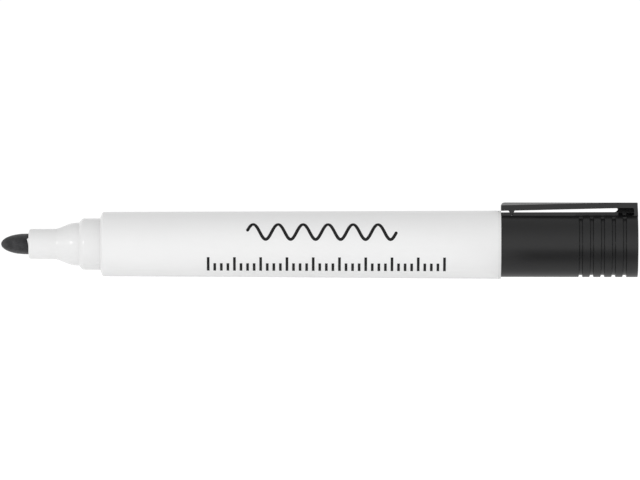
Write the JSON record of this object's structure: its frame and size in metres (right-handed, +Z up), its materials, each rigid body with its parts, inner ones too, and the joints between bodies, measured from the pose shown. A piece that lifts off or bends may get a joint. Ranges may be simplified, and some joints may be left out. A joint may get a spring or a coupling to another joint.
{
  "type": "whiteboard marker",
  "caption": "Bullet-nib dry-wipe marker with a tapered barrel, a push-fit cap posted on its rear end and a springy pocket clip.",
  "frame": {"origin": "centre of the bounding box's bottom face, under the middle of the marker on the surface it lies on", "axes": "+X along the marker from the nib towards the cap's closed end, +Z up through the middle of the clip, +Y across the clip"},
  "size_m": [0.1484, 0.0158, 0.0178],
  "materials": {
    "barrel_plastic": "smooth moulded polypropylene",
    "holder_plastic": "smooth moulded polypropylene",
    "nib_fibre": "ink-soaked bonded fibre",
    "reservoir_fibre": "ink-soaked bundled fibre",
    "film": "clear film",
    "cap_plastic": "satin moulded polypropylene",
    "liner_plastic": "soft moulded polyethylene"
  },
  "bodies": {
    "barrel": {"barrel": "barrel_plastic", "nib_holder": "holder_plastic", "nib": "nib_fibre", "ink_reservoir": "reservoir_fibre", "reservoir_wrap": "film", "end_plug": "holder_plastic"},
    "cap": {"cap": "cap_plastic", "cap_liner": "liner_plastic"},
    "clip": {"pocket_clip": "cap_plastic"}
  },
  "joints": [
    {"name": "cap_pull", "type": "slide", "parent": "barrel", "child": "cap", "axis": [1, 0, 0], "range_m": [0, 0.035]},
    {"name": "clip_flex", "type": "hinge", "parent": "cap", "child": "clip", "pos_m": [0.06943, 0, 0.01717], "axis": [0, 1, 0], "range_deg": [0, 6], "stiffness_Nm_per_rad": 1.5}
  ]
}
